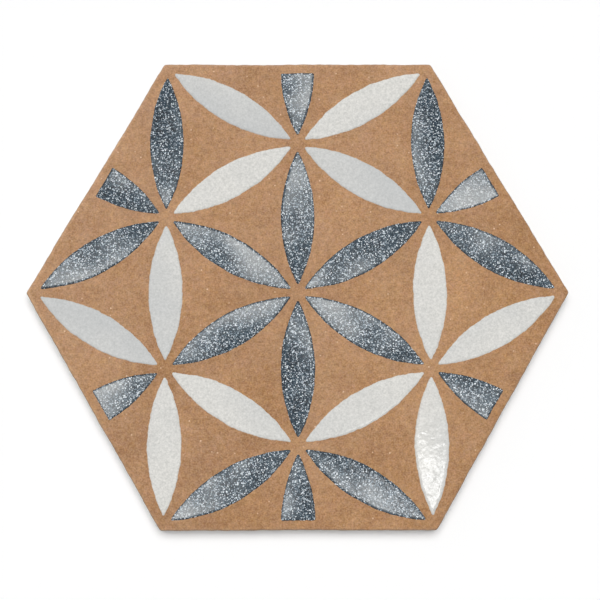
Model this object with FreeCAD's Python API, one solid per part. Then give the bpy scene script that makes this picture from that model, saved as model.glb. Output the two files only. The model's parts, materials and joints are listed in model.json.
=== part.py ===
# Hexagon floor tile: a pressed and fired clay slab with a raised glaze pattern on its face
# and a honeycomb key on its back. It is fired as one piece, so it is one solid.
# Millimetres, +Z up. The origin is the centre of the back, on the bedding plane.
# Two corners lie on the X axis, and two sides are parallel to it.
import FreeCAD
import Part
import math
import os

Vector = FreeCAD.Vector

# The slab
SIDE = 125.0                # one side of the hexagon, so 250 across the corners
THICKNESS = 9.0             # from the bedding plane to the clay face
CORNER_RADIUS = 1.5         # rounding of the six corners, seen from above
ARRIS_RADIUS = 1.0          # rounding where the face turns down into the side
SIDE_LAND = 5.0             # straight upper part of the side wall, arris included
BACK_SET_IN = 1.0           # how far the side wall draws in from the land to the back

# The glaze pattern: petals between the nodes of a grid of interlaced circles
PATTERN_MARGIN = 3.0        # from the side of the tile to the outermost nodes' hexagon
CLAY_LINE = 3.2             # bare clay between two petals where they come closest
PETAL_TIP_RADIUS = 0.6      # rounding of a petal's tips
GLAZE_HEIGHT = 0.4          # how far the glaze stands above the clay
GLAZE_EDGE = 0.22           # bevel where the glaze rounds down at its rim

# The honeycomb key on the back
KEY_DEPTH = 0.8             # depth of the pockets
KEY_PITCH = 17.0            # from the middle of one pocket to the next
KEY_RIB = 2.6               # width of the rib between two pockets
KEY_DRAFT = 0.35            # how far a pocket's walls draw in at its floor
BACK_RIM = 7.0              # plain band between the edge of the back and the pockets

SIDES = 6
TURN = 360.0 / SIDES
APOTHEM = SIDE * math.cos(math.radians(TURN / 2))
BACK_APOTHEM = APOTHEM - BACK_SET_IN
GLAZE_ROOT = THICKNESS / 2  # depth to which a petal's solid reaches into the slab, to fuse with it
UPRIGHT_LEAN = 0.001        # an upright edge leans sideways by less than this share of its height


def polar(radius, degrees, z=0.0):
    """A point by its distance from the Z axis and its angle from +X."""
    angle = math.radians(degrees)
    return Vector(radius * math.cos(angle), radius * math.sin(angle), z)


def corner_distance(apothem):
    """From the middle of a hexagon to its corner."""
    return apothem / math.cos(math.radians(TURN / 2))


def hexagon_points(apothem, z, middle=Vector(0, 0, 0), first_corner=0.0):
    """The six corners of a hexagon, anticlockwise."""
    radius = corner_distance(apothem)
    return [middle + polar(radius, first_corner + TURN * k, z) for k in range(SIDES)]


def polygon_face(points):
    """A flat face with straight sides."""
    return Part.Face(Part.makePolygon(points + points[:1]))


def rounded_hexagon(apothem, radius, z):
    """The tile's outline at one height: six straight sides joined by corner arcs."""
    inner_apothem = apothem - radius
    arc_middles = hexagon_points(inner_apothem, z)
    edges = []
    for k in range(SIDES):
        turn = TURN * k
        start = arc_middles[k] + polar(radius, turn - TURN / 2)
        crown = arc_middles[k] + polar(radius, turn)
        end = arc_middles[k] + polar(radius, turn + TURN / 2)
        next_start = arc_middles[(k + 1) % SIDES] + polar(radius, turn + TURN / 2)
        edges.append(Part.Arc(start, crown, end).toShape())
        edges.append(Part.LineSegment(end, next_start).toShape())
    return Part.Wire(edges)


def slab():
    """The clay body: a straight land under a rounded arris, drawn in towards the back."""
    land_foot = THICKNESS - SIDE_LAND
    land_outline = rounded_hexagon(APOTHEM, CORNER_RADIUS, land_foot)
    upper = Part.Face(land_outline).extrude(Vector(0, 0, SIDE_LAND))
    face_edges = [e for e in upper.Edges if e.BoundBox.ZMin > THICKNESS - ARRIS_RADIUS / 2]
    upper = upper.makeFillet(ARRIS_RADIUS, face_edges)
    back_outline = rounded_hexagon(BACK_APOTHEM, CORNER_RADIUS, 0.0)
    lower = Part.makeLoft([back_outline, land_outline], True, True)
    return upper.fuse(lower)


def petal_prism(node_a, node_b):
    """A petal between two neighbouring nodes: the lens where the circles about them would cross.

    Each circle of the grid has the node distance as its radius. Half the clay line is
    taken off all round, so neighbouring petals stay apart.
    """
    spacing = node_a.distanceToPoint(node_b)
    along = (node_b - node_a) / spacing
    across = Vector(-along.y, along.x, 0)
    middle = (node_a + node_b) / 2
    radius = spacing - CLAY_LINE / 2
    centre_offset = spacing * math.cos(math.radians(TURN / 2))
    half_length = math.sqrt(radius ** 2 - centre_offset ** 2)
    half_width = radius - centre_offset
    tip_a = middle - along * half_length
    tip_b = middle + along * half_length
    left = Part.Arc(tip_a, middle + across * half_width, tip_b).toShape()
    right = Part.Arc(tip_b, middle - across * half_width, tip_a).toShape()
    outline = Part.Wire([left, right])
    outline.translate(Vector(0, 0, THICKNESS - GLAZE_ROOT))
    return Part.Face(outline).extrude(Vector(0, 0, GLAZE_ROOT + GLAZE_HEIGHT))


def is_upright(edge):
    """Whether an edge runs straight up."""
    return edge.BoundBox.XLength + edge.BoundBox.YLength < edge.BoundBox.ZLength * UPRIGHT_LEAN


def finished_petal(prism):
    """The glaze rounded at its tips, and bevelled where it runs down at its rim."""
    tips = [e for e in prism.Edges if is_upright(e)]
    prism = prism.makeFillet(PETAL_TIP_RADIUS, tips)
    rim_height = THICKNESS + GLAZE_HEIGHT
    rim = [e for e in prism.Edges if e.BoundBox.ZMin > rim_height - GLAZE_EDGE / 2]
    return prism.makeChamfer(GLAZE_EDGE, rim)


def glazed_area():
    """The prism that the petals stay inside: it cuts those that would cross a side."""
    apothem = APOTHEM - PATTERN_MARGIN - CLAY_LINE / 2
    base = polygon_face(hexagon_points(apothem, THICKNESS - GLAZE_ROOT))
    return base.extrude(Vector(0, 0, GLAZE_ROOT + GLAZE_HEIGHT))


def glaze_pattern():
    """Six-petalled rosettes about the middle, a ring of six nodes and the six corners."""
    corner_radius = corner_distance(APOTHEM - PATTERN_MARGIN)
    spacing = corner_radius / (2 * math.cos(math.radians(TURN / 2)))
    middle = Vector(0, 0, 0)
    ring = [polar(spacing, TURN * (k + 0.5)) for k in range(SIDES)]
    beyond = [polar(2 * spacing, TURN * (k + 0.5)) for k in range(SIDES)]
    corners = [polar(corner_radius, TURN * k) for k in range(SIDES)]
    inside = glazed_area()
    petals = []
    for k in range(SIDES):
        petals.append(petal_prism(middle, ring[k]))
        petals.append(petal_prism(ring[k], ring[(k + 1) % SIDES]))
        petals.append(petal_prism(ring[k], corners[k]))
        petals.append(petal_prism(ring[k], corners[(k + 1) % SIDES]))
        petals.append(petal_prism(ring[k], beyond[k]).common(inside))
    return [finished_petal(petal) for petal in petals]


def key_pocket(middle):
    """One hexagonal pocket of the back, narrower at its floor so the press lets go of it."""
    mouth_apothem = (KEY_PITCH - KEY_RIB) / 2
    mouth = hexagon_points(mouth_apothem, 0.0, middle, TURN / 2)
    floor = hexagon_points(mouth_apothem - KEY_DRAFT, KEY_DEPTH, middle, TURN / 2)
    faces = [polygon_face(mouth), polygon_face(floor)]
    for k in range(SIDES):
        following = (k + 1) % SIDES
        faces.append(polygon_face([mouth[k], mouth[following], floor[following], floor[k]]))
    return Part.Solid(Part.Shell(faces))


def honeycomb():
    """Rings of pockets that fill the back inside its rim, round a plain pad in the middle."""
    pocket_reach = corner_distance((KEY_PITCH - KEY_RIB) / 2)
    row_height = KEY_PITCH * math.cos(math.radians(TURN / 2))
    rings = int((BACK_APOTHEM - BACK_RIM - pocket_reach) / row_height)
    pockets = []
    for row in range(-rings, rings + 1):
        for column in range(-rings, rings + 1):
            ring = max(abs(row), abs(column), abs(row + column))
            if 0 < ring <= rings:
                middle = Vector((column + row / 2) * KEY_PITCH, row * row_height, 0)
                pockets.append(key_pocket(middle))
    return Part.makeCompound(pockets)


def hexagon_tile():
    """The whole tile: slab, glaze and key in one solid."""
    tile = slab().fuse(glaze_pattern())
    tile = tile.cut(honeycomb())
    return tile.removeSplitter()


os.makedirs("parts", exist_ok=True)
tile = hexagon_tile()
print("solids", len(tile.Solids), "valid", tile.isValid(), "volume cm3", round(tile.Volume / 1000, 1))
tile.exportStep("parts/hexagon_tile.step")
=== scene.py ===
# %% [markdown]
# A hexagon floor tile
# The real tile is one slab of clay, pressed in a mould and fired. Its face carries petals of
# glaze in two colours, dark with pale grit in it and plain off-white, and its back has a
# honeycomb of shallow pockets that the bedding mortar grips.
# The packed solid has all of that at its real size, but it has flat facets and no finish.
# This lesson dresses it: a finer clay body, one glaze petal after another, three procedural
# finishes, and then floor, light and camera. The solid comes first, since everything that
# follows takes its place and size from it.

# %% Load the packed tile
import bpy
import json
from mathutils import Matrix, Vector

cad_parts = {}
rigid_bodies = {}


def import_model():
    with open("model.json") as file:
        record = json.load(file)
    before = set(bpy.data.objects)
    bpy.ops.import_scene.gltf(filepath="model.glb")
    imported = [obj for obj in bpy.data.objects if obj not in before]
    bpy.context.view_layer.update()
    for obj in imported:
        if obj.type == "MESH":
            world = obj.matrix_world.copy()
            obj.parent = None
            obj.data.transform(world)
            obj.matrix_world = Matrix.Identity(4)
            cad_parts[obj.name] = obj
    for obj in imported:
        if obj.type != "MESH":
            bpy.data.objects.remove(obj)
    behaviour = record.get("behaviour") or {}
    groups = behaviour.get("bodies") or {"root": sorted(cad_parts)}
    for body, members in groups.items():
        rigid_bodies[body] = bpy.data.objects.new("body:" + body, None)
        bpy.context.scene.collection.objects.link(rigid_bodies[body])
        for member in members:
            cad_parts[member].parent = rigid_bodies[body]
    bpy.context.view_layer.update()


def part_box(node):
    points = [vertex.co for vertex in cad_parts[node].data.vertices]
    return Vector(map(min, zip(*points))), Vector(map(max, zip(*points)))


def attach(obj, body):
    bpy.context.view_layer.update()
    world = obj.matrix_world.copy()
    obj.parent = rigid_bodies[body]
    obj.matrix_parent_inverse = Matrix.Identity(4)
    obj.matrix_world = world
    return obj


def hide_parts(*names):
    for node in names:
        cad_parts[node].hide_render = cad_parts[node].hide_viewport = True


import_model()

# %% Bring in Blender's own modules
import json
import math
import random

import bpy
from mathutils import Vector, geometry, kdtree, noise

# %% [markdown]
# Sizes
# Blender works in metres and a tile maker in millimetres, so lengths are kept in millimetres
# here and turned into metres once, when a mesh is made. The width across the sides and the
# height are read from the packed solid, so a tile of another format still fits. What can't be
# read from its box, such as the width of the clay lines, is written out beside its meaning.

# %% Work out the slab's sizes from the packed solid
MM = 0.001
SIDES = 6
TURN = 360 / SIDES
HALF_TURN_COS = math.cos(math.radians(TURN / 2))
GLAZE_HEIGHT = 0.4          # how far the glaze stands above the clay
low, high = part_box("hexagon_tile")
APOTHEM = (high.y - low.y) / 2 / MM
THICKNESS = (high.z - low.z) / MM - GLAZE_HEIGHT
SIDE = APOTHEM / HALF_TURN_COS
print(f"side {SIDE:.1f} mm, across the sides {2 * APOTHEM:.1f} mm, thickness {THICKNESS:.1f} mm")

# %% [markdown]
# Drawing flat outlines
# Tile, pocket and petal all start as a closed line on the drawing board. Blender's curve
# objects could draw them, but rings of points give control over every vertex, and a ring can
# be repeated at another height and joined to the first. So outlines are plain lists of points.


# %% Outline helpers
def polar(radius, degrees):
    """A flat point by its distance from the origin and its angle from +X."""
    angle = math.radians(degrees)
    return Vector((radius * math.cos(angle), radius * math.sin(angle)))


def arc(centre, radius, start, end, steps):
    """Points along an arc, each with the direction that faces away from the arc's centre."""
    angles = [start + (end - start) * step / steps for step in range(steps)]
    return [(centre + polar(radius, angle), polar(1, angle)) for angle in angles]


def rounded_hexagon(apothem, radius, side_steps, corner_steps, middle=Vector((0, 0)), first=0.0):
    """A hexagon with rounded corners, anticlockwise from the corner at the angle named first."""
    reach = (apothem - radius) / HALF_TURN_COS
    points = []
    for k in range(SIDES):
        turn = first + TURN * k
        corner = middle + polar(reach, turn)
        points += [p for p, _ in arc(corner, radius, turn - TURN / 2, turn + TURN / 2, corner_steps)]
        start = corner + polar(radius, turn + TURN / 2)
        end = middle + polar(reach, turn + TURN) + polar(radius, turn + TURN / 2)
        points += [start.lerp(end, step / side_steps) for step in range(side_steps)]
    return points


sample_hexagon = rounded_hexagon(10, 1, side_steps=4, corner_steps=3)
print("a sample hexagon has", len(sample_hexagon), "points")

# %% [markdown]
# From rings to a mesh
# A draft is a bag of points and faces that cells can add to. Two rings with equally many
# points are bridged by four-sided faces. A flat area with holes in it, such as the back
# around its pockets, would be tedious to divide by hand, so Blender's Delaunay triangulation
# does that: it takes the border, the holes and any loose points between them. Numbers that a
# finish needs, such as the wear of an edge, are stored on the points as attributes.


# %% Draft helpers
TRIANGLES_WITHOUT_HOLES = 2     # the kind of result to ask the triangulation for
SAME_PLACE = 1e-7               # points closer together than this, in mm, count as one


class Draft:
    """Points in millimetres and the faces between them."""

    def __init__(self):
        self.points = []
        self.faces = []

    def ring(self, outline, height):
        """Adds a level ring and gives the numbers of its points."""
        first = len(self.points)
        self.points += [Vector((p.x, p.y, height)) for p in outline]
        return list(range(first, len(self.points)))

    def bridge(self, lower, upper):
        """Joins two anticlockwise rings. The faces look outwards if the first ring is the lower one."""
        for i, corner in enumerate(lower):
            following = (i + 1) % len(lower)
            around = list(dict.fromkeys([corner, lower[following], upper[following], upper[i]]))
            if len(around) > 2:
                self.faces.append(around)

    def fill(self, border, holes=(), loose=(), downwards=False):
        """Triangles between a border and the holes in it, through the loose points."""
        numbers = [*border, *(n for hole in holes for n in hole), *loose]
        place = {n: i for i, n in enumerate(numbers)}
        flat = [self.points[n].to_2d() for n in numbers]
        loops = [[place[n] for n in loop] for loop in (border, *holes)]
        result = geometry.delaunay_2d_cdt(flat, [], loops, TRIANGLES_WITHOUT_HOLES, SAME_PLACE)
        triangles, origin = result[2], result[3]
        for triangle in triangles:
            corners = [numbers[origin[n][0]] for n in triangle]
            self.faces.append(corners[::-1] if downwards else corners)

    def piece(self, name, sharp_angle, **attributes):
        """The finished object in metres, smooth but for sharp edges, with a number on each point."""
        mesh = bpy.data.meshes.new(name)
        mesh.from_pydata([p * MM for p in self.points], [], self.faces)
        for attribute, values in attributes.items():
            mesh.attributes.new(attribute, "FLOAT", "POINT").data.foreach_set("value", values)
        mesh.validate()
        mesh.shade_smooth()
        mesh.set_sharp_from_angle(angle=math.radians(sharp_angle))
        made = bpy.data.objects.new(name, mesh)
        bpy.context.scene.collection.objects.link(made)
        return made


sample = Draft()
sample.bridge(sample.ring(sample_hexagon, 0), sample.ring(sample_hexagon, 1))
print("a band between two sample hexagons has", len(sample.faces), "faces")

# %% [markdown]
# The clay body: sides
# The press squeezes clay into a mould whose walls lean, so that the tile drops out. Only the
# upper part of the side is upright, the land that neighbours are spaced by. Below it the side
# draws in towards the back. Above it the edge is rounded, and a fired edge is never quite
# true. A Bevel modifier could round a plain prism, but a stack of rings allows each level its
# own set-in, and shows plainly where each part of the side starts and ends.

# %% Rings of the side, from the back up to the face
CORNER_RADIUS = 1.5
CORNER_TIGHTENING = 0.5     # how much of a set-in comes off the radius of a corner
ARRIS_RADIUS = 1.0          # rounding between the side and the face
SIDE_LAND = 5.0             # upright upper part of the side, the rounding included
BACK_SET_IN = 1.0           # how far the side draws in from the land to the back
BACK_ARRIS = 0.3            # the worn lower edge
FACE_BORDER = 0.7           # the last ring lies this far in on the face
RING_PITCH = 1.2            # spacing of the points along a side
CORNER_STEPS = 6
ARRIS_STEPS = 7
WALL_STEPS = 4

land_foot = THICKNESS - SIDE_LAND
land_top = THICKNESS - ARRIS_RADIUS
side_levels = [(BACK_SET_IN + BACK_ARRIS, 0.0)]         # each level's set-in and height
for step in range(WALL_STEPS + 1):
    share = step / WALL_STEPS
    side_levels.append((BACK_SET_IN * (1 - share), BACK_ARRIS + (land_foot - BACK_ARRIS) * share))
for step in range(1, WALL_STEPS):
    side_levels.append((0.0, land_foot + (land_top - land_foot) * step / WALL_STEPS))
for step in range(ARRIS_STEPS + 1):
    lean = math.radians(90 * step / ARRIS_STEPS)
    side_levels.append((ARRIS_RADIUS * (1 - math.cos(lean)), land_top + ARRIS_RADIUS * math.sin(lean)))
side_levels.append((ARRIS_RADIUS + FACE_BORDER, THICKNESS))

clay = Draft()
side_rings = []
for set_in, height in side_levels:
    radius = CORNER_RADIUS - CORNER_TIGHTENING * min(set_in, ARRIS_RADIUS)
    outline = rounded_hexagon(APOTHEM - set_in, radius, round(SIDE / RING_PITCH), CORNER_STEPS)
    side_rings.append(clay.ring(outline, height))
for lower, upper in zip(side_rings, side_rings[1:]):
    clay.bridge(lower, upper)
back_border, face_border = side_rings[0], side_rings[-1]
print(len(side_rings), "rings of", len(back_border), "points")

# %% [markdown]
# The clay body: face
# The face is flat to the eye, yet in raking light a pressed and fired face rises and falls by
# a few hundredths of a millimetre. One large polygon could not do that. A triangular lattice
# of loose points gives the triangulation something to hold, and the points can then move.

# %% A lattice over the face
FACE_PITCH = 2.0            # spacing of the lattice
face_apothem = APOTHEM - ARRIS_RADIUS - FACE_BORDER
row_height = FACE_PITCH * HALF_TURN_COS
rows = int(face_apothem / row_height)
columns = int(SIDE / FACE_PITCH)
lattice = []
for row in range(-rows, rows + 1):
    for column in range(-columns, columns + 1):
        spot = Vector(((column + row % 2 / 2) * FACE_PITCH, row * row_height))
        nearest_side = max(abs(spot.dot(polar(1, TURN * (k + 0.5)))) for k in range(3))
        if nearest_side < face_apothem - FACE_PITCH / 2:
            lattice.append(spot)
clay.fill(face_border, loose=clay.ring(lattice, THICKNESS))
print(len(lattice), "lattice points on the face")

# %% [markdown]
# The clay body: back
# Pressed floor tiles have a keyed back. Here it is a honeycomb: shallow six-sided
# pockets, with a plain pad in the middle. An array of pockets cut out by booleans would
# work, but booleans leave ragged triangles. Each pocket is four small rings instead, from its
# rounded mouth down its leaning wall to its floor, and the plain ribs between the mouths are
# filled in one go.

# %% Pockets in the back
KEY_DEPTH = 0.8
KEY_PITCH = 17.0            # from the middle of one pocket to the next
KEY_RIB = 2.6               # width of the rib between two pockets
KEY_DRAFT = 0.35            # how far a pocket's walls lean in
BACK_RIM = 7.0              # plain band along the edge of the back
POCKET_CORNER = 1.2         # rounding of a pocket's corners
POCKET_STEPS = (2, 3)       # points along one side of a pocket and round one corner
# Each ring of a pocket by its distance in from the rib's edge, and its depth
POCKET_LEVELS = ((-0.25, 0.0), (-0.05, 0.1), (KEY_DRAFT, KEY_DEPTH - 0.2), (KEY_DRAFT + 0.3, KEY_DEPTH))

mouth_apothem = (KEY_PITCH - KEY_RIB) / 2
key_row = KEY_PITCH * HALF_TURN_COS
key_rings = int((APOTHEM - BACK_SET_IN - BACK_RIM - mouth_apothem / HALF_TURN_COS) / key_row)
mouths = []
for row in range(-key_rings, key_rings + 1):
    for column in range(-key_rings, key_rings + 1):
        if not 0 < max(abs(row), abs(column), abs(row + column)) <= key_rings:
            continue
        middle = Vector(((column + row / 2) * KEY_PITCH, row * key_row))
        rings = []
        for set_in, depth in POCKET_LEVELS:
            apothem = mouth_apothem - set_in
            outline = rounded_hexagon(apothem, POCKET_CORNER, *POCKET_STEPS, middle, TURN / 2)
            rings.append(clay.ring(outline, depth))
        for outer, inner in zip(rings, rings[1:]):
            clay.bridge(inner, outer)
        clay.faces.append(rings[-1][::-1])
        mouths.append(rings[0])
clay.fill(back_border, holes=mouths, downwards=True)
print(len(mouths), "pockets")

# %% [markdown]
# The clay body: wear of the press and the kiln
# A sculptor would drag a soft brush over the edge. In code, each point asks smooth noise how
# far to move. The face gets long low waves. The side only ever moves inwards, so the tile
# never grows past its packed size. The rounded edge is also lighter than the face, partly from
# wear and partly as a painted highlight, strongest on the left where the sky is brighter. The
# share of both is kept on the points for the finish.

# %% Move the face and the edge a little out of true
WAVES = ((34.0, 0.06), (9.0, 0.02))         # length and height of the waves on the face
EDGE_WAVES = ((18.0, 0.30), (3.0, 0.22))    # length and depth of the waves along the edge
EDGE_LOSS = 0.18                            # how far the edge lies in from true, on average
RUBBED_AND_LIT_SIDE = 165.0                         # the side where the edge gets the most painted highlight and wear, from +X


def waves(spot, lengths_and_heights):
    """Smooth noise at a place on the tile, in mm: about plus or minus the heights added up."""
    return sum(height * noise.noise(spot / length) for length, height in lengths_and_heights)


side_points = len(side_rings) * len(back_border)
edge_wear = []
for n, spot in enumerate(clay.points):
    up_the_edge = min(1.0, max(0.0, (spot.z - land_top) / ARRIS_RADIUS))
    lift = Vector((0, 0, up_the_edge * waves(spot, WAVES)))
    loss = Vector()
    if n < side_points and spot.z > 0:
        loss = Vector((spot.x, spot.y, 0)).normalized() * max(0.0, EDGE_LOSS + waves(spot, EDGE_WAVES))
    clay.points[n] = spot - loss + lift
    # Wear on the rounded edge, with a painted highlight that grows towards the brighter left side
    rubbed_and_lit = 0.5 + 0.5 * spot.to_2d().normalized().dot(polar(1, RUBBED_AND_LIT_SIDE))
    edge_wear.append(up_the_edge * rubbed_and_lit if n < side_points - len(face_border) else 0.0)

clay_body = clay.piece("clay_body", sharp_angle=50, edge_wear=edge_wear)
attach(clay_body, "root")
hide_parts("hexagon_tile")
print("clay body:", len(clay_body.data.polygons), "faces")

# %% [markdown]
# Where the petals go
# The pattern is a compass exercise that every drawing school teaches: circles of one size,
# each through the middle of its neighbours, on a grid of equal triangles. Where two circles
# overlap lies a petal, from one grid point, or node, to the next. Seven nodes lie on the tile,
# and its six corners are nodes too. Petals that would run out over a side are cut off short
# of it. The spokes round the middle and the cut petals at the sides are dark, the ring between
# them is pale, and the petals towards the corners take turns. Copies of one petal could be
# turned and laid, but no two puddles of glaze are alike. So this cell only plans them, and
# each one is then built by itself.

# %% Nodes of the circle grid, and the petals between them
PATTERN_MARGIN = 3.0        # from the side of the tile to the hexagon of the corner nodes
CLAY_LINE = 3.2             # bare clay where two petals come closest
corner_reach = (APOTHEM - PATTERN_MARGIN) / HALF_TURN_COS
spacing = corner_reach / (2 * HALF_TURN_COS)
middle_node = Vector((0, 0))
ring_nodes = [polar(spacing, TURN * (k + 0.5)) for k in range(SIDES)]
corner_nodes = [polar(corner_reach, TURN * k) for k in range(SIDES)]
nodes_beyond = [polar(2 * spacing, TURN * (k + 0.5)) for k in range(SIDES)]

petal_plan = []             # name, colour, first node, second node, cut at the side or not
for k in range(SIDES):
    following = (k + 1) % SIDES
    corner_colour = "pale" if k % 2 else "dark"
    petal_plan.append((f"spoke_petal_{k}", "dark", middle_node, ring_nodes[k], False))
    petal_plan.append((f"ring_petal_{k}", "pale", ring_nodes[k], ring_nodes[following], False))
    for letter, node in (("a", corner_nodes[k]), ("b", corner_nodes[following])):
        petal_plan.append((f"corner_petal_{k}_{letter}", corner_colour, ring_nodes[k], node, False))
    petal_plan.append((f"side_petal_{k}", "dark", ring_nodes[k], nodes_beyond[k], True))
print(len(petal_plan), "petals,", round(spacing, 2), "mm from node to node")

# %% [markdown]
# The outline of a petal
# Two arcs of the same large circle meet in two tips. Glaze is a liquid when it is fired and
# never holds a needle point, so each tip is a small arc that runs into both large ones. A
# Bezier curve could be bent to that by eye. But where arcs touch like this, their centres lie
# on one line, which gives every angle exactly. The petal is drawn lying along X with its
# middle at the origin, and placed later.

# %% Draw a whole or a cut petal
PETAL_TIP_RADIUS = 0.6
ARC_STEPS = 140             # points along one large arc
TIP_STEPS = 6
petal_radius = spacing - CLAY_LINE / 2
centre_offset = spacing * HALF_TURN_COS
tip_radius = petal_radius - PETAL_TIP_RADIUS
tip_reach = math.sqrt(tip_radius ** 2 - centre_offset ** 2)
tip_angle = math.degrees(math.atan2(centre_offset, tip_reach))
half_width = petal_radius - centre_offset
side_petal_out = 1.5 * spacing                  # from the middle of the tile to that of a side petal
cut_at = APOTHEM - PATTERN_MARGIN - CLAY_LINE / 2 - side_petal_out


def petal_outline(is_cut):
    """The petal's border, anticlockwise, as points with the directions that face out of it."""
    above, below = Vector((0, centre_offset)), Vector((0, -centre_offset))
    left = arc(Vector((-tip_reach, 0)), PETAL_TIP_RADIUS, 180 - tip_angle, 180 + tip_angle, TIP_STEPS)
    if is_cut:
        x = cut_at - PETAL_TIP_RADIUS
        y = math.sqrt(tip_radius ** 2 - x ** 2) - centre_offset
        open_angle = math.degrees(math.atan2(y + centre_offset, x))
        arc_steps, flat_steps = ARC_STEPS // 2, ARC_STEPS // 4
        heights = [y * (2 * n / flat_steps - 1) for n in range(flat_steps)]
        flat = [(Vector((cut_at, height)), Vector((1, 0))) for height in heights]
        right = arc(Vector((x, -y)), PETAL_TIP_RADIUS, -open_angle, 0, TIP_STEPS) + flat
        right += arc(Vector((x, y)), PETAL_TIP_RADIUS, 0, open_angle, TIP_STEPS)
    else:
        open_angle, arc_steps = tip_angle, ARC_STEPS
        right = arc(Vector((tip_reach, 0)), PETAL_TIP_RADIUS, -tip_angle, tip_angle, TIP_STEPS)
    upper = arc(below, petal_radius, open_angle, 180 - tip_angle, arc_steps)
    lower = arc(above, petal_radius, 180 + tip_angle, 360 - open_angle, arc_steps)
    return right + upper + left + lower


print(len(petal_outline(False)), "points round a petal,", len(petal_outline(True)), "round a cut one")

# %% [markdown]
# A petal of glaze
# Seen closely, fired glaze is a puddle: it climbs from a thin rim within a millimetre or two,
# and its top is almost level with soft swells in it. A solidified curve would give a sharp
# slab. So rings of points run from the rim to a line along the petal's middle, and each point
# takes its height from how far it lies from the rim. The rim itself wanders and is a little
# ragged.

# %% Rings of a petal, from its rim to its middle line
RIM_WIDTH = 1.5             # over which the glaze climbs
RIM_RINGS = 8
TOP_RINGS = 8
RIM_REACH = 0.6             # at most this share of the way to the middle line is rim
RIM_CROWDING = 1.5          # how much closer together the rings lie at the rim
SPINE_INSET = 2.2           # how far the middle line stays away from a tip
CUT_INSET = 5.5             # and from a cut end


def petal_rings(border, is_cut):
    """The border moved in step by step until it closes on the petal's middle line."""
    left = SPINE_INSET - tip_reach
    right = cut_at - CUT_INSET if is_cut else tip_reach - SPINE_INSET
    spine = [Vector((min(max(p.x, left), right), 0)) for p in border]
    for step in range(RIM_RINGS + TOP_RINGS + 1):
        rim_share = min(1, step / RIM_RINGS) ** RIM_CROWDING
        top_share = max(0, step - RIM_RINGS) / TOP_RINGS
        ring = []
        for edge, goal in zip(border, spine):
            share = rim_share * min(RIM_WIDTH / (goal - edge).length, RIM_REACH)
            ring.append(edge.lerp(goal, share + (1 - share) * top_share))
        yield ring


sample_border = [p for p, _ in petal_outline(False)]
print(len(list(petal_rings(sample_border, False))), "rings from the rim of a petal to its middle line")

# %% [markdown]
# What a petal remembers for its finish
# Two numbers are stored on each point. The attribute rim_mm says how far in from the rim it
# lies: the grit of the dark glaze stays away from the rim, which leaves a dark line there. The
# grit goes on after the glass, a hair off to one side, so the line is wide on one side of a
# petal and missing on the other. The attribute haze differs from petal to petal,
# is strongest on the small cut ones and leans towards one end or one side. On the pale glaze
# it is a cloudiness. On the dark glaze it is a painted reflection, a pale veil such as a lamp
# leaves on glass. Both could be painted by hand as weights, but numbers that are worked out
# with the shape always fit it.

# %% How one petal differs from the next
WOBBLE = {"dark": ((8.0, 0.25), (1.5, 0.16)), "pale": ((5.0, 0.32), (1.4, 0.22))}
SWELLS = ((7.0, 0.03), (3.0, 0.012))        # length and height, as for the wobble of the rim
NOISE_STEP = 31.7           # how far apart in the noise two petals lie
GRIT_SHIFT = (0.08, 0.32)   # how far off the grit may lie
HAZE_AND_REFLECTION_CHANCE = (1.3, 3.0)    # the two powers of the draw: most petals are clear, a few are hazy, the dark ones with a painted reflection
HAZE_AND_REFLECTION_OF_WHOLE = 0.65        # how much haze and painted reflection whole petals can have
HAZE_AND_REFLECTION_OF_CUT = 1.5           # and cut ones
HAZE_AND_REFLECTION_LEAN = 0.4             # how much more of it one end or side of a petal has
HAZE_AND_REFLECTION_CLOUDS = ((12.0, 0.4),)                # length and strength of its patches within a petal
UNEVEN = {"dark": 1.0, "pale": 0.3}         # how much of lean and clouds shows in each colour
PETAL_SEED = 3701           # gives the same petals each time
chance = random.Random(PETAL_SEED)
print("a petal's rim wanders by up to", round(sum(depth for _, depth in WOBBLE["pale"]), 2), "mm")

# %% Build one petal
GLAZE_ROOT = 0.5            # depth of the hidden foot below the clay face
SWELL_ROOM = 0.04           # the level top lies this far below the full height
SHOULDER = 3                # how full the round shoulder of the glaze is


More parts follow.
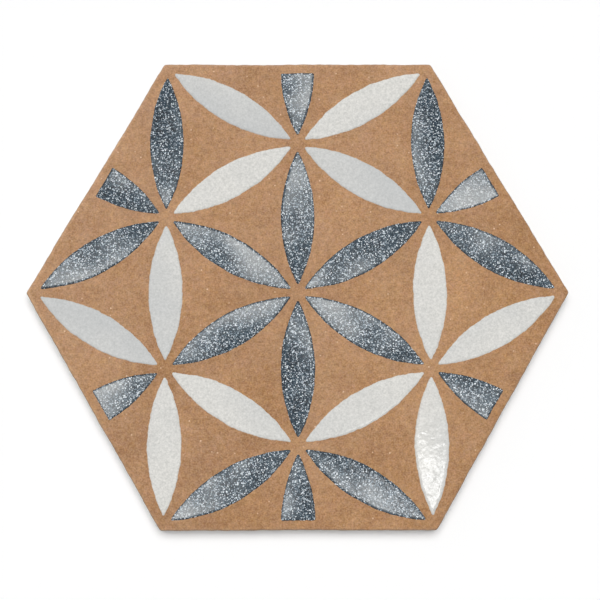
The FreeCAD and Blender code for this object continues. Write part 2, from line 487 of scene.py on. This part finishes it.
def build_petal(name, colour, first_node, second_node, is_cut, seed):
    """One closed petal of glaze, in place on the tile's face."""
    along = (second_node - first_node).normalized()
    across = Vector((-along.y, along.x))
    middle = (first_node + second_node) / 2
    elsewhere = Vector((0, 0, NOISE_STEP * seed))
    grit_shift = polar(chance.uniform(*GRIT_SHIFT), chance.uniform(0, 360))
    # How much haze this petal gets; on dark petals it is a painted reflection
    haze_level = chance.betavariate(*HAZE_AND_REFLECTION_CHANCE) * (HAZE_AND_REFLECTION_OF_CUT if is_cut else HAZE_AND_REFLECTION_OF_WHOLE)
    haze_lean = polar(HAZE_AND_REFLECTION_LEAN, chance.uniform(0, 360))

    def place(p):
        return middle + along * p.x + across * p.y

    border, outwards = [], []
    for p, outward in petal_outline(is_cut):
        border.append(p + outward * waves(place(p).to_3d() + elsewhere, WOBBLE[colour]))
        outwards.append(outward)
    nearest_rim = kdtree.KDTree(len(border))
    for n, p in enumerate(border):
        nearest_rim.insert(p.to_3d(), n)
    nearest_rim.balance()

    draft = Draft()
    rim_mm, haze = [], []
    known = {}

    def top_point(p):
        """The number of the point over p. Points that meet on the middle line share one."""
        key = (round(p.x, 4), round(p.y, 4))
        if key not in known:
            _, n, distance = nearest_rim.find(p.to_3d())
            spot = place(p).to_3d()
            climb = 1 - (1 - min(1, distance / RIM_WIDTH)) ** SHOULDER
            full = GLAZE_HEIGHT - SWELL_ROOM + waves(spot + elsewhere, SWELLS)
            known[key] = len(draft.points)
            draft.points.append(spot + Vector((0, 0, THICKNESS + climb * full)))
            rim_mm.append(distance + grit_shift.dot(outwards[n]))
            lean = haze_lean.dot((p.x / tip_reach, p.y / half_width))
            haze.append(haze_level + UNEVEN[colour] * (lean + waves(spot + elsewhere, HAZE_AND_REFLECTION_CLOUDS)))
        return known[key]

    rings = [[top_point(p) for p in ring] for ring in petal_rings(border, is_cut)]
    foot = draft.ring([place(p) for p in border], THICKNESS - GLAZE_ROOT)
    rim_mm += [0.0] * len(foot)
    haze += [haze_level] * len(foot)
    draft.faces.append(foot[::-1])
    for lower, upper in zip([foot, *rings], rings):
        draft.bridge(lower, upper)
    return draft.piece(name, sharp_angle=60, rim_mm=rim_mm, haze=haze)


print("a petal's foot reaches", GLAZE_ROOT, "mm into the clay")

# %% Lay all the petals
petals = {"dark": [], "pale": []}
for seed, (name, colour, first_node, second_node, is_cut) in enumerate(petal_plan):
    petal = build_petal(f"{colour}_{name}", colour, first_node, second_node, is_cut, seed)
    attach(petal, "root")
    petals[colour].append(petal)
print({colour: len(pieces) for colour, pieces in petals.items()}, "petals of",
      len(petals["dark"][0].data.polygons), "faces")

# %% [markdown]
# Finishes: how the shaders are put together
# Everything in a finish is made by nodes, because a picture wrapped over the tile would have a
# fixed sharpness and a seam. The textures read Object coordinates, turned into millimetres, so
# that a size in a cell below is a size on the tile. Added by hand in the shader editor, so many
# nodes would be hard to follow, so helpers keep the cells short: Nodes has the sums that any
# node tree needs, and Finish adds the textures. Colours are written as they look on a screen,
# from 0 to 255, and turned into the linear numbers that shaders take.

# %% Colours and the Mix node
MIX_SHARE, MIX_FIRST, MIX_SECOND = 0, 6, 7      # where the Mix node has its inputs for colours
MIX_RESULT = 2                                  # and its output


def screen_colour(red, green, blue):
    """A colour as a screen shows it, in linear numbers."""
    shares = [value / 255 for value in (red, green, blue)]
    linear = [s / 12.92 if s <= 0.04045 else ((s + 0.055) / 1.055) ** 2.4 for s in shares]
    return (*linear, 1.0)


print("the middle grey of a screen is", round(screen_colour(128, 128, 128)[0], 3), "in linear numbers")


# %% Nodes, one call at a time
class Nodes:
    """A node tree, with short calls for the sums that the finishes and the lights need."""

    def __init__(self, tree):
        self.tree = tree

    def add(self, kind, inputs=None, **settings):
        """A new node. An input is either a number or colour, or the output that feeds it."""
        made = self.tree.nodes.new(kind)
        for name, value in settings.items():
            setattr(made, name, value)
        for name, value in (inputs or {}).items():
            self.feed(made.inputs[name], value)
        return made

    def feed(self, socket, value):
        """Sets an input, or links it to an output."""
        if isinstance(value, bpy.types.NodeSocket):
            self.tree.links.new(value, socket)
        else:
            socket.default_value = value

    def math(self, operation, first, second):
        """One sum."""
        return self.add("ShaderNodeMath", {0: first, 1: second}, operation=operation).outputs[0]

    def along(self, place, direction):
        """How far a place lies along a direction."""
        inputs = {0: place, 1: direction}
        return self.add("ShaderNodeVectorMath", inputs, operation="DOT_PRODUCT").outputs["Value"]

    def ramp(self, value, start, end, low=0.0, high=1.0, soft=True):
        """Turns the stretch from start to end into low to high, as a rule with soft ends."""
        inputs = {"Value": value, "From Min": start, "From Max": end, "To Min": low, "To Max": high}
        kind = "SMOOTHSTEP" if soft else "LINEAR"
        return self.add("ShaderNodeMapRange", inputs, interpolation_type=kind).outputs["Result"]

    def mix(self, share, first, second, blend_type="MIX"):
        """Two colours mixed by a share."""
        inputs = {MIX_SHARE: share, MIX_FIRST: first, MIX_SECOND: second}
        made = self.add("ShaderNodeMix", inputs, data_type="RGBA", blend_type=blend_type)
        return made.outputs[MIX_RESULT]

    def bump(self, height, distance, under=None):
        """A relief too fine for the mesh. The distance is the relief's height in mm."""
        inputs = {"Height": height, "Distance": distance * MM}
        if under is not None:
            inputs["Normal"] = under
        return self.add("ShaderNodeBump", inputs).outputs["Normal"]


print("the calls are", ", ".join(name for name in vars(Nodes) if not name.startswith("_")))


# %% A finish with textures in millimetres
class Finish(Nodes):
    """A material with a Principled shader, and textures whose sizes are sizes on the tile."""

    def __init__(self, name, glass_index):
        self.material = bpy.data.materials.new(name)
        self.material.use_nodes = True
        super().__init__(self.material.node_tree)
        self.shader = self.tree.nodes["Principled BSDF"]
        self.set("IOR", glass_index)
        coordinates = self.add("ShaderNodeTexCoord").outputs["Object"]
        inputs = {"Vector": coordinates, "Scale": 1 / MM}
        self.place = self.add("ShaderNodeVectorMath", inputs, operation="SCALE").outputs[0]

    def set(self, name, value):
        """Feeds one input of the shader."""
        self.feed(self.shader.inputs[name], value)

    def stored(self, name):
        """A number that is stored on the points of the mesh."""
        return self.add("ShaderNodeAttribute", attribute_name=name).outputs["Fac"]

    def cloud(self, size, seed=0.0):
        """Smooth noise about one half, in patches about as wide as the size in mm."""
        moved = self.add("ShaderNodeVectorMath", {0: self.place, 1: (seed, 2 * seed, seed)}).outputs[0]
        inputs = {"Vector": moved, "Scale": 1 / size, "Detail": 1.0}
        return self.add("ShaderNodeTexNoise", inputs).outputs["Fac"]

    def tones(self, *layers, seed=0.0):
        """Clouds of several sizes added up about one half. A layer is a size and its strength."""
        total = 0.5 - sum(strength for _, strength in layers) / 2
        for size, strength in layers:
            inputs = {0: self.cloud(size, seed=seed), 1: strength, 2: total}
            total = self.add("ShaderNodeMath", inputs, operation="MULTIPLY_ADD").outputs[0]
        return total

    def drift(self, rightwards, farwards):
        """A number that grows evenly over the tile, by so much for each mm."""
        return self.along(self.place, (rightwards, farwards, 0))

    def grains(self, pitch, place=None):
        """Scattered grains: the distance from the nearest grain's middle, and its random numbers."""
        cells = self.add("ShaderNodeTexVoronoi", {"Vector": place or self.place, "Scale": 1 / pitch})
        numbers = self.add("ShaderNodeSeparateColor", {0: cells.outputs["Color"]})
        return cells.outputs["Distance"], numbers.outputs


print("a finish adds", ", ".join(name for name in vars(Finish) if not name.startswith("_")))

# %% [markdown]
# Fired clay
# The bare clay is a warm tan, dull and slightly sandy. It goes from lighter to darker over
# centimetres and is grainy well below one millimetre, and so is the hue. A single noise looks
# like fog, so noises of several sizes are added up: one sum for the tone, one for a warmer or
# a greyer clay, and one that takes away a little green. From side to side there is an even
# drift: lighter at the far side, a painted gradient of light from where the lamps lean, and
# warmer at the near right. Single light and dark grains of sand, the rounded edge lightened by
# wear and by a painted highlight, greyer sides and a bump no higher than the sand finish it.

# %% Fired clay: body
LESS_GREEN = (1.0, 0.93, 1.0, 1.0)
clay_finish = Finish("fired_clay", glass_index=1.4)
clay_finish.set("Roughness", 0.9)
tone = clay_finish.tones((0.75, 1.22), (1.6, 0.78), (3.6, 0.36), (9.0, 0.24), (22.0, 0.3), (45.0, 0.35))
# Painted light: the tone grows lighter towards the far and slightly left side, where the light comes
# from
tone = clay_finish.math("ADD", tone, clay_finish.drift(-0.00025, 0.00055))
warm = clay_finish.mix(tone, screen_colour(150, 107, 60), screen_colour(209, 164, 111))
grey = clay_finish.mix(tone, screen_colour(139, 107, 81), screen_colour(198, 163, 134))
layers = (0.75, 0.8), (1.6, 0.55), (3.6, 0.35), (9.0, 0.22), (22.0, 0.2), (45.0, 0.25)
warmth = clay_finish.tones(*layers, seed=50.0)
warmth = clay_finish.math("ADD", warmth, clay_finish.drift(0.0007, -0.0006))
body = clay_finish.mix(warmth, grey, warm)
pinkness = clay_finish.tones((0.75, 1.3), (1.6, 1.1), (3.6, 1.0), (9.0, 0.6), seed=90.0)
body = clay_finish.mix(pinkness, body, LESS_GREEN, blend_type="MULTIPLY")
print("colour of the clay:", len(clay_finish.tree.nodes), "nodes")

# %% Fired clay: sand, sides, and wear with a painted highlight
grit_distance, grit_numbers = clay_finish.grains(2.6)
grit = clay_finish.ramp(grit_distance, 0.2, 0.06)
is_light = clay_finish.ramp(grit_numbers["Red"], 0.76, 1.0)
is_dark = clay_finish.ramp(grit_numbers["Red"], 0.15, 0.0, 0.0, 0.6)
body = clay_finish.mix(clay_finish.math("MULTIPLY", grit, is_light), body, screen_colour(232, 204, 176))
body = clay_finish.mix(clay_finish.math("MULTIPLY", grit, is_dark), body, screen_colour(112, 76, 52))

level = clay_finish.add("ShaderNodeSeparateXYZ", {0: clay_finish.place}).outputs["Z"]
over_edge = clay_finish.ramp(level, THICKNESS + 0.1, THICKNESS - 0.6, 0.0, 0.7)
body = clay_finish.mix(over_edge, body, screen_colour(160, 140, 122))
below_edge = clay_finish.ramp(level, land_top + 0.3, land_top - 0.8, 0.0, 0.82)
body = clay_finish.mix(below_edge, body, screen_colour(119, 106, 94))
# The rounded edge is lightened by wear and by a painted highlight, most of all on the left
patches = clay_finish.tones((2.5, 1.5), (12.0, 1.5), seed=9.0)
wear = clay_finish.math("MULTIPLY", clay_finish.stored("edge_wear"), patches)
clay_finish.set("Base Color", clay_finish.mix(wear, body, screen_colour(92, 80, 65), blend_type="ADD"))
clay_finish.set("Normal", clay_finish.bump(tone, distance=0.08))
clay_body.data.materials.append(clay_finish.material)
print("the same with sand and wear:", len(clay_finish.tree.nodes), "nodes")

# %% [markdown]
# Dark glaze
# The dark petals are navy glass full of pale grit, packed so closely that from a step away
# they look grey. Grains of two thirds of a millimetre and a finer dust between them make up
# the look. Cells of a Voronoi texture give scattered grains for the cost of one node, where
# modelled grains would need millions of faces, and stirring their coordinates with noise turns
# round dots into short worms. Where haze is high the grit is denser, and a
# painted reflection lies over it: a veil that only lightens, which the Screen blend gives, and
# a thin grey film over that. The rim stays dark, but for the grains that reach over it here
# and there.

# %% Dark glaze: glass, dust and grains
STIR = 0.9                  # size and reach of the stirring, in mm
dark = Finish("dark_glaze", glass_index=1.5)
stir = dark.add("ShaderNodeTexNoise", {"Vector": dark.place, "Scale": 1 / STIR, "Detail": 1.0})
inputs = {0: stir.outputs["Color"], 1: (STIR, STIR, STIR), 2: dark.place}
stirred = dark.add("ShaderNodeVectorMath", inputs, operation="MULTIPLY_ADD").outputs[0]
rim = dark.stored("rim_mm")
haze = dark.math("MULTIPLY", dark.stored("haze"), dark.ramp(rim, 0.1, 1.3))
glass = dark.mix(dark.tones((1.6, 1.5), (6.0, 1.2)), screen_colour(4, 17, 27), screen_colour(30, 54, 69))
dust_distance, dust_numbers = dark.grains(0.46, stirred)
dust_size = dark.ramp(dust_numbers["Red"], 0.15, 1.0, 0.0, 0.6)
dust_size = dark.math("ADD", dust_size, dark.math("MULTIPLY", haze, 0.2))
dust = dark.ramp(dark.math("SUBTRACT", dust_size, dust_distance), 0.0, 0.15)
dust = dark.math("MULTIPLY", dust, dark.ramp(rim, 0.2, 1.6, 0.35, 0.51))
speckled = dark.mix(dust, glass, screen_colour(144, 165, 177))
grain_distance, grain_numbers = dark.grains(0.64, stirred)
grain_size = dark.ramp(grain_numbers["Red"], 0.0, 1.0, 0.08, 0.57)
grain_size = dark.math("ADD", grain_size, dark.math("MULTIPLY", haze, 0.08))
grain = dark.ramp(dark.math("SUBTRACT", grain_size, grain_distance), 0.0, 0.1)
dull_grain, bright_grain = screen_colour(126, 143, 157), screen_colour(238, 245, 250)
speckled = dark.mix(grain, speckled, dark.mix(grain_numbers["Green"], dull_grain, bright_grain))
print("glass, dust and grains:", len(dark.tree.nodes), "nodes")

# %% Dark glaze: painted reflection, rim and skin
# Painted reflection: a pale veil and a grey film where haze is high
painted_reflection_veil = dark.ramp(haze, -0.2, 1.3)
painted_reflection_film = dark.ramp(haze, 0.15, 1.1, 0.0, 0.55)
with_painted_reflection = dark.mix(painted_reflection_veil, speckled, screen_colour(146, 150, 152), blend_type="SCREEN")
with_painted_reflection = dark.mix(painted_reflection_film, with_painted_reflection, screen_colour(184, 183, 180))
ragged_rim = dark.math("ADD", rim, dark.ramp(dark.cloud(0.8), 0.3, 0.7, -0.35, 0.5))
rim_line = dark.ramp(ragged_rim, 0.25, -0.05)
rim_line = dark.math("MULTIPLY", rim_line, dark.ramp(grain, 0.0, 1.0, 1.0, 0.35))
# The dark rim fades under the painted reflection
rim_line = dark.math("MULTIPLY", rim_line, dark.ramp(dark.stored("haze"), 0.2, 1.0, 1.0, 0.45))
dark.set("Base Color", dark.mix(rim_line, with_painted_reflection, screen_colour(12, 18, 28)))
dark.set("Roughness", dark.ramp(grain, 0.0, 1.0, 0.14, 0.30))
peel = dark.bump(dark.cloud(1.6), distance=0.08)
dark.set("Normal", dark.bump(grain, distance=0.01, under=peel))
for petal in petals["dark"]:
    petal.data.materials.append(dark.material)
print("dark glaze:", len(dark.tree.nodes), "nodes, on", len(petals["dark"]), "petals")

# %% [markdown]
# Pale glaze
# The pale petals are a plain off-white glass, cloudy by a few shades only. No two of them are
# quite the same white: the lightest lean to cream and the cloudiest to a cool grey. What tells
# the glass from paint is its skin, a faint orange peel a millimetre or two wide that breaks up
# every reflection. So the colour stays quiet and the bump does the work.

# %% Pale glaze
pale = Finish("pale_glaze", glass_index=1.5)
milk = pale.tones((0.75, 1.45), (1.6, 0.6), (3.6, 0.15), (10.0, 0.1))
milky = pale.mix(milk, screen_colour(198, 197, 192), screen_colour(232, 230, 225))
cloudy = pale.ramp(pale.stored("haze"), -0.1, 0.7, 0.0, 0.5)
milky = pale.mix(cloudy, milky, screen_colour(166, 172, 178))
thin_rim = pale.ramp(pale.stored("rim_mm"), 0.3, 0.0, 0.0, 0.35)
pale.set("Base Color", pale.mix(thin_rim, milky, screen_colour(186, 176, 162)))
pale.set("Roughness", pale.ramp(pale.cloud(6.0), 0.3, 0.7, 0.06, 0.12))
pale.set("Normal", pale.bump(pale.tones((1.1, 0.15), (3.0, 1.0)), distance=0.08))
for petal in petals["pale"]:
    petal.data.materials.append(pale.material)
print("pale glaze:", len(pale.tree.nodes), "nodes, on", len(petals["pale"]), "petals")

# %% [markdown]
# Floor
# The tile lies on a plain white table. A white floor lit like the tile comes out a shade under
# white. More light would mend that and bleach the tile, so the floor's material adds a little
# glow instead, which only the camera and reflections see. It lights nothing, and the tile's
# shadow stays on it.

# %% Lay the floor
FLOOR_REACH = 4.0           # metres
floor_mesh = bpy.data.meshes.new("floor")
floor_mesh.from_pydata([(*polar(FLOOR_REACH, 45 + 90 * k), 0.0) for k in range(4)], [], [(0, 1, 2, 3)])
floor = bpy.data.objects.new("floor", floor_mesh)
bpy.context.scene.collection.objects.link(floor)
print("the floor reaches", FLOOR_REACH, "m from the tile")

# %% Colour the floor
FLOOR_WHITE = 0.98
FLOOR_GLOW = 0.025


def seen_directly(nodes):
    """1 for rays from the camera, from a mirror or through glass, and 0 for those that light things."""
    rays = nodes.add("ShaderNodeLightPath").outputs
    seen_or_mirrored = nodes.math("MAXIMUM", rays["Is Camera Ray"], rays["Is Glossy Ray"])
    return nodes.math("MAXIMUM", seen_or_mirrored, rays["Is Transmission Ray"])


white_table = bpy.data.materials.new("white_table")
white_table.use_nodes = True
table_nodes = Nodes(white_table.node_tree)
table_shader = white_table.node_tree.nodes["Principled BSDF"].inputs
table_shader["Base Color"].default_value = (FLOOR_WHITE, FLOOR_WHITE, FLOOR_WHITE, 1)
table_shader["Roughness"].default_value = 1.0
table_shader["Specular IOR Level"].default_value = 0.0
table_shader["Emission Color"].default_value = (1, 1, 1, 1)
glow = table_nodes.math("MULTIPLY", seen_directly(table_nodes), FLOOR_GLOW)
table_nodes.feed(table_shader["Emission Strength"], glow)
floor_mesh.materials.append(white_table)
print("the floor reflects", FLOOR_WHITE, "and glows by", FLOOR_GLOW)

# %% [markdown]
# Key light
# The picture was lit softly from almost overhead, leaning a little to the far side: the shadow
# is only four or five millimetres wide, all round the tile, and darkest along the near side. An
# area lamp would fade towards the edges of the floor. A sun lamp with a wide angle is soft and
# lights it all evenly. The glaze would mirror it as a grey veil over every petal, so it is
# hidden from reflections.

# %% Add the key lamp
SKY = 0.13                  # share of the light that comes from the sky
KEY_LEAN = 11.5             # degrees from straight overhead
KEY_AZIMUTH = 87.0          # the side that it leans to, from +X
KEY_SPREAD = 46.0           # how wide the lamp is, seen from the tile, in degrees

lean = math.radians(KEY_LEAN)
key_from = Vector((*polar(math.sin(lean), KEY_AZIMUTH), math.cos(lean)))
key_lamp = bpy.data.lights.new("key", "SUN")
key_lamp.energy = (1 - SKY) * math.pi / key_from.z
key_lamp.angle = math.radians(KEY_SPREAD)
key = bpy.data.objects.new("key", key_lamp)
key.rotation_euler = key_from.to_track_quat("Z", "Y").to_euler()
key.visible_glossy = False
bpy.context.scene.collection.objects.link(key)
print(f"key lamp: {key_lamp.energy:.2f} watts for each square metre")

# %% [markdown]
# Sky
# The rest of the light is a pale sky, brighter on the left, where a window would be. A second
# lamp could fill the shadow too, but it would cast one of its own. Seen by the camera or in a
# reflection, the same sky is plain white.

# %% Add the sky
SKY_GRADE = 0.9             # how much brighter the sky is on its bright side, as a share
SKY_AZIMUTH = 170.0

sky = bpy.data.worlds.new("pale_sky")
sky.use_nodes = True
background = sky.node_tree.nodes["Background"].inputs
background["Color"].default_value = (1, 1, 1, 1)
sky_nodes = Nodes(sky.node_tree)
direction = sky_nodes.add("ShaderNodeTexCoord").outputs["Generated"]
towards_window = sky_nodes.along(direction, (*polar(1, SKY_AZIMUTH), 0))
dim, bright = SKY * (1 - SKY_GRADE), SKY * (1 + SKY_GRADE)
graded = sky_nodes.ramp(towards_window, -1.0, 1.0, dim, bright, soft=False)
strength = sky_nodes.ramp(seen_directly(sky_nodes), 0.0, 1.0, graded, 1.0, soft=False)
sky_nodes.feed(background["Strength"], strength)
bpy.context.scene.world = sky
print(f"the sky's strength goes from {dim:.3f} to {bright:.3f}")

# %% [markdown]
# Softbox
# One small softbox beside the camera is what the glaze does mirror. It puts a broken white
# glare on a petal near the lower right corner, which shows that it is glass. Glare could be
# painted into the finish, but then it would stay where it is when the tile turns. The softbox
# adds nothing else: so near the tile, it would light one corner more than the rest.

# %% Add the softbox
SOFTBOX_SIZE = (0.075, 0.055)                   # metres
SOFTBOX_PLACE = Vector((0.105, -0.090, 0.62))   # metres
SOFTBOX_BRIGHTNESS = 8.0    # where the white background is 1
softbox_lamp = bpy.data.lights.new("softbox", "AREA")
softbox_lamp.shape = "RECTANGLE"
softbox_lamp.size, softbox_lamp.size_y = SOFTBOX_SIZE
softbox_lamp.energy = SOFTBOX_BRIGHTNESS * math.pi * math.prod(SOFTBOX_SIZE)
softbox = bpy.data.objects.new("softbox", softbox_lamp)
softbox.location = SOFTBOX_PLACE
softbox.visible_diffuse = False
bpy.context.scene.collection.objects.link(softbox)
print(f"softbox: {softbox_lamp.energy:.3f} watts")

# %% [markdown]
# Camera
# In the photograph the near side of the tile is four percent longer than the far side, and the
# left and right corners sit a little above the middle. So the camera wasn't straight overhead.
# It could be turned by eye until the tile fits. Solving for the tile's six sides is surer, and
# gives a portrait lens two thirds of a metre above it, over the near side, leaning by seven
# degrees to look back at the middle.

# %% Set the camera
LENS = 85.0                 # mm
SENSOR = 36.0               # mm across
CAMERA_PLACE = Vector((-4.21, -85.956, 654.541))    # mm from the middle of the back
CAMERA_TURN = (7.281, -0.441, -0.148)               # degrees, from looking straight down

camera_data = bpy.data.cameras.new("camera")
camera_data.lens = LENS
camera_data.sensor_width = SENSOR
camera_data.dof.use_dof = False
camera = bpy.data.objects.new("camera", camera_data)
camera.location = CAMERA_PLACE * MM
camera.rotation_euler = [math.radians(angle) for angle in CAMERA_TURN]
bpy.context.scene.collection.objects.link(camera)
bpy.context.scene.camera = camera
bpy.context.scene.view_settings.view_transform = "Standard"
view_width = math.degrees(camera_data.angle)
print(f"camera: {CAMERA_PLACE.length:.0f} mm from the tile, {view_width:.1f} degrees wide")

# %% [markdown] The dressed tile is meant not to outgrow the packed one.
